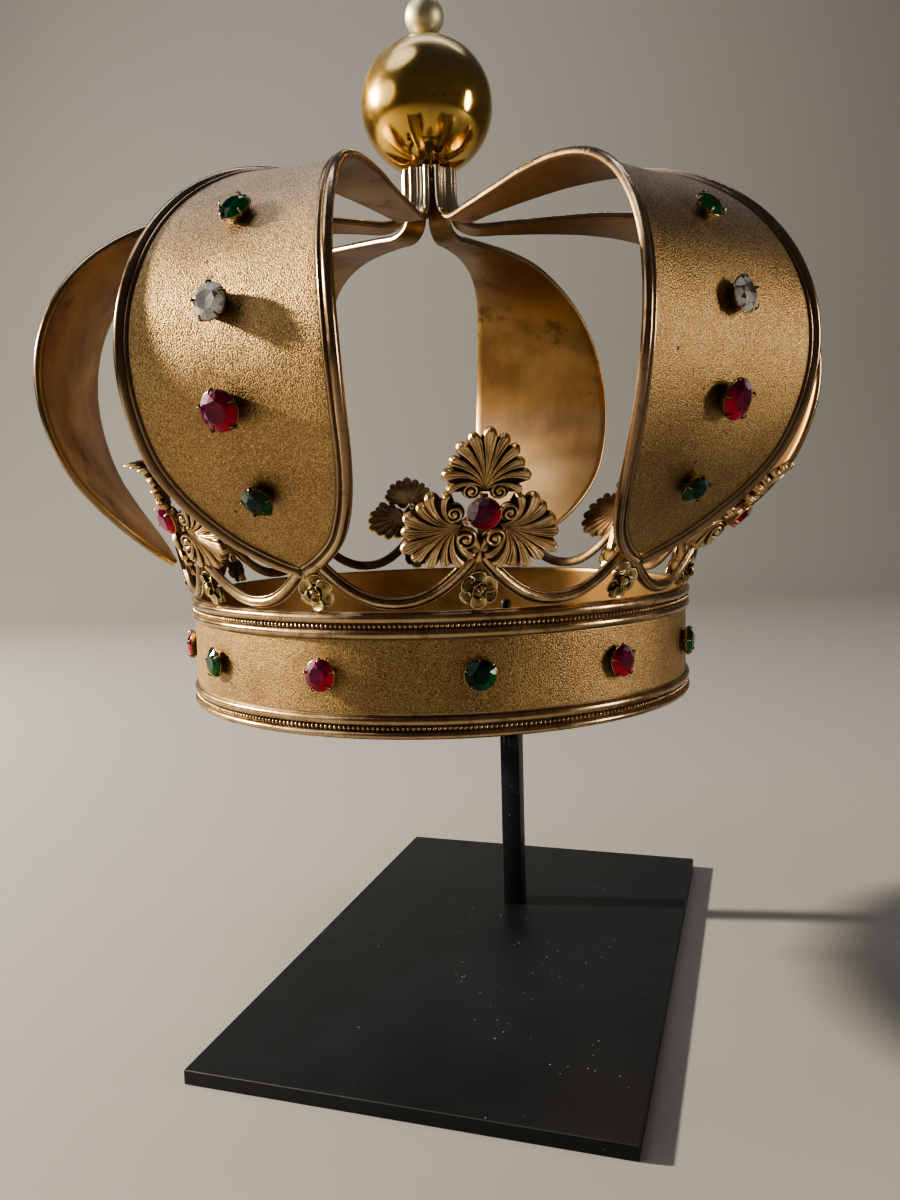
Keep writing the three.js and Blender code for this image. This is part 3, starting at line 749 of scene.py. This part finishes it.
def addScroll(shape, radius, place, way):
    # volute: a ridge that winds into the middle, with a small round eye; painted shade darkens the
    # channel between the turns and the underside
    sides = 40
    share, a = np.linspace(0, 1, 22)[:, None], circle(sides)
    winding = np.sin(way * a + share * 13 + 1)
    eye = np.exp(-(share * 4.6) ** 2)
    ridge = 0.42 * winding * (1 - share ** 6) - 0.1
    height = 1.35 + ridge * held(share * 4) + 0.55 * eye - 1.5 * share ** 8
    shade = held(0.55 - 0.6 * winding - 0.8 * eye)
    shape.addRings(polar(radius * share, a, height), 0, shade, place)
    shape.addRings(spun([(radius, 0.0), (radius * 0.96, -1.0), (0, -1.0)], sides), 0, 0.8, place)


def addSolder(shape, size, place, seed):
    # uneven lump where two pieces were joined, with painted shade in its dents
    a, b = np.linspace(0, pi, 12)[:, None], circle(26)
    lumps = 1 + 0.16 * np.sin(3 * b + seed) * np.sin(a) + 0.13 * np.sin(5 * b + 2 * seed) * np.sin(2 * a)
    points = polar(lumps * np.sin(a), b, lumps * -np.cos(a)) * size
    shape.addRings(points, 0, held(0.55 + 2.4 * (1 - lumps)), place)


def buildTrefoils():
    s = {"radius": 102.1, "height": 56.0, "arm": 15.5, "stone": (4.9, 2.9),
         "leaves": [(0.3, 5.2, -2), (-5.6, -4.5, 114), (4.9, -4.5, -117)],  # x, y, turn
         "scroll": (4.5, 1.0, 3.1), "topScroll": 0.9, "bigScroll": 1.17,  # across, up, radius; two shares
         "bent": (5, 0), "bentFrom": 13.5,  # the one leaf whose tip is bent over
         "neck": 2.2, "stem": (2.4, 10, 1.2), "stemY": -10.3, "solder": (3.0, 4.6, 1.5), "solderY": -12.2}
    foot, rise, arm = s["radius"], s["height"], s["arm"]
    across, along, size = s["scroll"]
    radius, girdle = s["stone"]
    for i, (azimuth, lean, folds) in enumerate(trefoils):
        tilt = rad(lean)
        place = facing(azimuth, foot + arm * sin(tilt), rise + arm * cos(tilt), lean)
        shape = Shape()
        for j, (x, y, turn) in enumerate(s["leaves"]):
            leaf = place @ turned(0, x, y) @ folded(folds[j]) @ turned(turn)
            points, faces, marks = palmette(400 + 10 * i + j)
            if (i, j) == s["bent"]:
                over = np.clip(points[..., 1] - s["bentFrom"], 0, None)
                points[..., 1] -= 0.55 * over
                points[..., 2] += 0.85 * over
            shape.add(cupped(points), faces, 0, mark=marks, place=leaf)
            for way in (-1, 1):
                shrink = 1.0 if j else s["topScroll"]
                swell = s["bigScroll"] if (j, way) in ((1, -1), (2, 1)) else 1.0
                curl = leaf @ turned(0, way * across * shrink, along, 0.25)
                addScroll(shape, swell * shrink * size, curl, way)
            neck = place @ turned(degrees(atan2(-x, y)), 0.6 * x, 0.6 * y, 0.0)
            bar = (s["neck"], 0.7 * hypot(x, y), 1.2)
            # painted shade on the bar's faces, less on its edges
            addBar(shape, bar, neck, bevel=0.4, mark=0.6, edge=0.3)
        addSetting(shape, radius, girdle, place, 0, root=0.9, claws=4, seed=500 + i)
        stem, solder = turned(0, 0, s["stemY"], -1.2), turned(-6, -0.4, s["solderY"], 0.2)
        # painted shade on the stem, as on the bars
        addBar(shape, s["stem"], place @ stem, bevel=0.3, mark=0.6, edge=0.3)
        addSolder(shape, s["solder"], place @ solder, 540 + i)
        n = i + 1
        shape.build(f"trefoil_cast_{n}", [castLooks[antique]], nodes=[f"trefoil_{n}"])
        gem(f"trefoil_gem_{n}", f"trefoil_stone_{n}", radius, girdle, place, "ruby", 520 + i)
    print("trefoils built")


archStations = [
    (102.4, 51.3, 1.8), (106.4, 55.3, 10.5), (112, 61.2, 19), (118.2, 67.9, 25), (124.6, 75.4, 29.8),
    (131.4, 85.3, 33.7), (136.9, 98.5, 35.8), (140, 113.5, 36.5), (139.6, 128.5, 35.5),
    (135.2, 143.2, 33), (127.6, 155.2, 29.8), (117.5, 164.6, 25.8), (103.5, 172.4, 21),
    (86, 177.2, 16.8), (66, 178.9, 12.6), (46, 178.4, 8.8), (29, 177.4, 6.4), (16.5, 176.8, 5),
]  # radius, height, half width
neckStations = [(11.2, 179.4, 4.5), (9.2, 185, 4.2), (8.8, 197, 4.2)]
trueArch = {"reach": 0, "turn": 0, "wide": 1, "lift": 0, "aside": 0}
# each arch as it was bent by hand; what it leaves out is as in trueArch
arches = [
    {"azimuth": -30.4, "reach": -0.7, "wide": 0.96, "lift": -2.6, "aside": -1.4},
    {"azimuth": 30, "reach": 1.5, "wide": 1.07, "lift": -0.3, "aside": 0.6},
    {"azimuth": 90},
    {"azimuth": 150, "turn": 0.5, "wide": 0.96, "lift": 0.8},
    {"azimuth": -150},
    {"azimuth": -90, "reach": -0.9, "turn": -3.5, "lift": -0.6},
]
# letter, kind, place along the arch, radius, girdle, and 1 where the stone is set aside
archStones = [("a", "emerald", 0.2, 4.6, 3.0, 0), ("b", "ruby", 0.304, 5.7, 4.0, 1),
              ("c", "crystal", 0.395, 5.0, 3.4, 1), ("d", "emerald", 0.49, 4.5, 2.6, 0)]
# the edge's inner bead dies out towards the neck
archSheet = {"rows": 200, "columns": 17, "thick": 1.2, "dish": 1.2, "widest": 36.5, "wave": 0.22,
             "fadeFrom": 0.78, "fadeOver": 0.08}
# across the edge moulding: distance in from the edge, height, darkness, which is painted shade in its
# channels
edgeProfile = np.array([
    (0.0, -0.55, 0.3), (0.0, -0.1, 0.1), (0.12, 0.45, 0.0), (0.45, 1.0, 0.0), (1.0, 1.36, 0.0),
    (1.6, 1.45, 0.0), (2.15, 1.3, 0.0), (2.6, 0.9, 0.2), (2.95, 0.35, 0.8), (3.15, 0.12, 1.0),
    (3.35, 0.25, 0.9), (3.6, 0.58, 0.2), (3.9, 0.7, 0.0), (4.2, 0.55, 0.1), (4.45, 0.18, 0.8),
    (4.6, -0.05, 1.0), (4.8, -0.03, 0.6), (5.0, 0.0, 0.1),
])


def archCurve(arch):
    # smooth curve through the stations, bent as this arch is
    rows = np.array(archStations)
    t = np.arange(len(rows)) / (len(rows) - 1)
    swing = np.sin(pi * t)
    rows[:, 0] += arch["reach"] * swing ** 2
    rows[:, 1] += arch["lift"] * swing * t
    rows[:, 2] *= 1 + (arch["wide"] - 1) * swing ** 2
    rows = join([rows, neckStations])
    ends = join([[2 * rows[0] - rows[1]], rows, [2 * rows[-1] - rows[-2]]])

    def at(share):
        s = np.atleast_1d(share) * (len(rows) - 1)
        i = np.clip(s.astype(int), 0, len(rows) - 2)
        w = (s - i)[:, None]
        p0, p1, p2, p3 = (ends[i + k] for k in range(4))
        d = [np.linalg.norm(b - a, axis=1)[:, None] ** 0.5 for a, b in ((p0, p1), (p1, p2), (p2, p3))]
        m1 = ((p1 - p0) / d[0] - (p2 - p0) / (d[0] + d[1]) + (p2 - p1) / d[1]) * d[1]
        m2 = ((p2 - p1) / d[1] - (p3 - p1) / (d[1] + d[2]) + (p3 - p2) / d[2]) * d[1]
        square, cube = -3 * p1 + 3 * p2 - 2 * m1 - m2, 2 * p1 - 2 * p2 + m1 + m2
        return p1 + m1 * w + square * w ** 2 + cube * w ** 3

    return at


def archFrames(arch, shares):
    at = archCurve(arch)
    here = at(shares)
    ahead = at(held(shares + 1e-4)) - at(held(shares - 1e-4))
    run = unit(ahead[:, :2])
    normal = np.stack([run[:, 1], -run[:, 0]], 1)
    spread = ahead[:, 2] / np.linalg.norm(ahead[:, :2], axis=1)
    azimuth = arch["azimuth"] + arch["turn"] * np.sin(pi * np.clip(shares * 1.15, None, 1))
    return here, normal, spread, azimuth


def archRow(half, cosine, share):
    # one row across the leaf and back behind it: sideways, outwards and darkness
    s = archSheet
    columns, sink = s["columns"], s["dish"] * half / s["widest"]
    inward = edgeProfile[:, 0]
    squeeze = min(1.0, (half * cosine + 0.2) / inward[-1]) if share > 0.5 else 1.0
    x = np.maximum(half - inward * squeeze / cosine, 0.0)
    true = (half - x) * cosine / squeeze
    height = np.where(inward == 0, edgeProfile[:, 1], np.interp(true, inward[1:], edgeProfile[1:, 1]))
    shade = np.interp(true, inward[1:], edgeProfile[1:, 2])
    fade = np.where(inward > 2.9, 1 - 0.85 * held((share - s["fadeFrom"]) / s["fadeOver"]), 1.0)
    height, shade = height * fade, shade * (0.4 + 0.6 * fade) * fade
    front = join([x, np.linspace(x[-1], -x[-1], columns + 2)[1:-1], -x[::-1]])
    up = join([height, np.full(columns, height[-1]), height[::-1]])
    dip = -sink * (1 - (front / max(half, 0.1)) ** 2)
    back = np.array([-1, -0.985, -0.9, -0.6, -0.3, 0, 0.3, 0.6, 0.9, 0.985, 1]) * half
    backDip = -sink * (1 - (back / half) ** 2) - s["thick"]
    backDip[[0, -1]] += 0.3
    lip = np.interp(np.abs(back) / half, [0, 0.9, 0.985, 1], [0, 0, -0.12, 0])
    dark = join([shade, np.zeros(columns), shade[::-1], np.zeros(len(back))])
    return join([front, back]), join([up + dip, backDip + lip]), dark


def buildArch(i, arch):
    s = archSheet
    rows, columns, edge = s["rows"], s["columns"], len(edgeProfile)
    dense = np.linspace(0, 1, 1200)
    here = archFrames(arch, dense)[0]
    length = join([[0], np.cumsum(np.linalg.norm(np.diff(here[:, :2], axis=0), axis=1))])
    shares = np.interp(np.linspace(0, length[-1], rows), length, dense)
    here, normal, spread, azimuth = archFrames(arch, shares)
    cosine = 1 / np.sqrt(1 + np.clip(spread, -3, 3) ** 2)
    across = [archRow(half, slope, share) for half, slope, share in zip(here[:, 2], cosine, shares)]
    x, n, dark = [np.array(v) for v in zip(*across)]
    side, out = around(azimuth)
    radius = here[:, :1] + n * normal[:, :1]
    height = bandBase + here[:, 1:2] + n * normal[:, 1:2]
    # slight waves in the hand-raised sheet
    wave = s["wave"] * np.sin(length.max() * shares[:, None] / 37 + i) * np.sin(x / 15 + 2 * i)
    points = out[:, None] * (radius + wave * normal[:, :1])[..., None] + side[:, None] * x[..., None]
    points[..., 2] = height + wave * normal[:, 1:2]
    count = x.shape[1]
    spans = [edge - 1, columns + 1, edge - 1, count - 2 * edge - columns + 1]
    kinds = np.repeat([mould, ground, mould, within], spans)
    shape = Shape()
    shape.add(points, gridFaces(rows, count)[:, ::-1], np.tile(kinds, rows - 1), mark=join(dark))
    loop = list(range(count))
    # painted shade on the end caps
    shape.add(points[0], [loop], mould, smooth=False, mark=0.4)
    shape.add(points[-1], [loop[::-1]], mould, smooth=False, mark=0.4)

    for letter, kind, along, radius, girdle, share in archStones:
        spot, tilt, _, turn = archFrames(arch, np.array([along]))
        drop = s["dish"] * spot[0, 2] / s["widest"]
        lean = degrees(atan2(-tilt[0, 1], tilt[0, 0]))
        radiusHere, rise = spot[0, :2] - drop * tilt[0]
        place = facing(float(turn[0]), radiusHere, rise, lean) @ turned(0, arch["aside"] * share)
        name, seed = f"{i + 1}{letter}", 10 * i + ord(letter)
        addSetting(shape, radius, girdle, place, mould, root=0.5, claws=5, seed=600 + seed)
        gem("arch_gem_" + name, "arch_stone_" + name, radius, girdle, place, kind, 700 + seed)
    shape.build(f"arch_leaf_{i + 1}", giltLooks, nodes=[f"arch_{i + 1}"])


# look, node, slot, radius, height of the middle, rings, sides and how far it is dented
balls = {"orb_shell": (orbBrass, "orb", "bright_brass", 24.9, 221.0, 97, 144, 0.03),
         "orb_knob": (ballBrass, "orb_ball", "pale_brass", 7.3, 253.5, 49, 72, 0.02)}


def buildOrb():
    for name, (look, node, slot, radius, height, rings, sides, dent) in balls.items():
        a, b = np.linspace(0, pi, rings)[:, None], circle(sides)
        r = radius + dent * (np.sin(3 * b + 1) * np.sin(2 * a) + 0.6 * np.sin(5 * b - 2) * np.sin(3 * a))
        shape = Shape()
        shape.addRings(polar(r * np.sin(a), b, bandBase + height - r * np.cos(a)))
        shape.build(name, [look], nodes=[node])
    print("orb built")


def buildStand():
    s = {"width": 149.0, "length": 233.0, "thick": 5.0, "x": 17.9, "y": 3.2, "turn": -24.8,
         "post": (8.6, 35.7, 44.2), "rod": 3.2, "rodTurns": (6, 115, -115), "rodReach": 96, "gap": 0.3,
         "prong": (6, 90.6, 42.2)}  # the post's side, x and y; the prong's azimuth, radius and height
    shape = Shape()
    slab = turned(s["turn"], s["x"], s["y"], s["thick"] / 2)
    addBar(shape, (s["width"], s["length"], s["thick"]), slab, bevel=0.35, mark=0, edge=0.55)
    shape.build("plate_slab", [black], nodes=["stand_plate"])
    shape = Shape()
    side, px, py = s["post"]
    top = bandBase - s["gap"]
    post = turned(s["turn"], px, py, (top + s["thick"]) / 2)
    addBar(shape, (side, side, top - s["thick"]), post, bevel=0.4, mark=0, edge=0.3)
    for azimuth in s["rodTurns"]:
        run = around(azimuth)[1] * s["rodReach"] - np.array([px, py, 0])
        heading = degrees(atan2(run[1], run[0]))
        bar = turned(heading, px + run[0] / 2, py + run[1] / 2, top - s["rod"] / 2)
        addBar(shape, (np.linalg.norm(run[:2]), s["rod"], s["rod"]), bar, bevel=0.5, mark=0, edge=0.3)
    azimuth, radius, rise = s["prong"]
    r, foot, tip = s["rod"] / 2, top - s["rod"], bandBase + rise
    profile = [(0, foot), (r, foot), (r, tip - 1.6), (0.9 * r, tip - 0.8), (0.6 * r, tip - 0.2), (0, tip)]
    shape.addRings(spun(profile, 24) + around(azimuth)[1] * radius)
    shape.build("post_frame", [black], nodes=["stand_post"])
    print("stand built")


buildBand()
buildGallery()
buildTrefoils()
for number, arch in enumerate(arches):
    buildArch(number, trueArch | arch)
print("arches built")
buildOrb()
buildStand()


def buildStage():
    # plain floor that bends up into a wall, in metres
    s = {"wide": 2.4, "back": 1.3, "bend": 0.5, "tall": 1.9, "tone": (0.27, 0.268, 0.262)}
    floor = bpy.data.meshes.new("floor")
    turns = np.linspace(0, pi / 2, 10)
    bend = [(s["back"] + s["bend"] * sin(a), s["bend"] - s["bend"] * cos(a)) for a in turns]
    bend = [(-s["wide"], 0)] + bend + [(s["back"] + s["bend"], s["tall"])]
    points = [(x, y, z) for y, z in bend for x in (-s["wide"], s["wide"])]
    faces = [(2 * i, 2 * i + 1, 2 * i + 3, 2 * i + 2) for i in range(len(bend) - 1)]
    floor.from_pydata(points, [], faces)
    floor.shade_smooth()
    floor.materials.append(Look("floor", Base_Color=s["tone"], Roughness=0.85).material)
    placed("floor", floor)


def addLight(name, spot, target, size, power, colour):
    data = bpy.data.lights.new(name, "AREA")
    data.shape, data.size, data.size_y = "ELLIPSE", *size
    data.energy, data.color = power, colour
    lamp = placed(name, data)
    lamp.location = spot
    lamp.rotation_mode = "QUATERNION"
    lamp.rotation_quaternion = (Vector(target) - Vector(spot)).to_track_quat("-Z", "Y")


def buildLight():
    crown, wall = (0, 0, 0.24), (0.1, 1.6, 0.3)
    # where it stands, what it faces, size, watts, colour
    lamps = {
        "key": ((-1.47, 0.42, 0.8), crown, (0.1, 0.1), 84, (1.0, 0.88, 0.68)),
        "window": ((-1.55, -0.4, 0.72), crown, (0.9, 0.9), 3.2, (1.0, 0.97, 0.94)),
        "side": ((1.46, -0.6, 0.4), crown, (0.3, 0.6), 9.3, (1.0, 0.92, 0.8)),
        "top": ((-0.8, -0.15, 1.72), crown, (1.0, 1.0), 6, (0.92, 0.96, 1.0)),
        "wash": ((0.1, 0.5, 1.7), wall, (1.6, 0.4), 7, (1.0, 0.98, 0.95)),
    }
    air = {"below": (0.19, 0.165, 0.14), "above": (0.14, 0.15, 0.175), "strength": 0.42}
    for name, lamp in lamps.items():
        addLight(name, *lamp)
    world = bpy.data.worlds.new("studio")
    bpy.context.scene.world = world
    world.use_nodes = True
    sky = Nodes(world.node_tree)
    where = sky.node("TexCoord", output="Generated")
    height = sky.node("SeparateXYZ", feeds={"Vector": where}, output="Z")
    tone = sky.node("ValToRGB", {"stops": (air["below"], air["above"])}, {"Fac": height})
    background = world.node_tree.nodes["Background"]
    sky.set(background, "Color", tone)
    sky.set(background, "Strength", air["strength"])


def buildCamera():
    s = {"spot": (-46.34, -391.73, 190.62), "yaw": 7.272, "pitch": -5.87, "roll": -1.59, "lens": 29.83}
    pitch, roll = rad(s["pitch"]), rad(s["roll"])
    right, near = around(-s["yaw"])
    ahead = np.array([0, 0, sin(pitch)]) - near * cos(pitch)
    up = np.cross(right, ahead)
    across = right * cos(roll) + up * sin(roll)
    above = up * cos(roll) - right * sin(roll)
    camera = placed("camera", bpy.data.cameras.new("camera"))
    camera.data.lens = s["lens"]
    camera.data.clip_start = 0.01
    camera.matrix_world = Matrix(placeMatrix(across, above, -ahead, np.array(s["spot"]) * mm).tolist())
    bpy.context.scene.camera = camera


bpy.context.scene.view_settings.look = "AgX - Medium High Contrast"
buildStage()
buildLight()
buildCamera()
print("stage, lights and camera set")
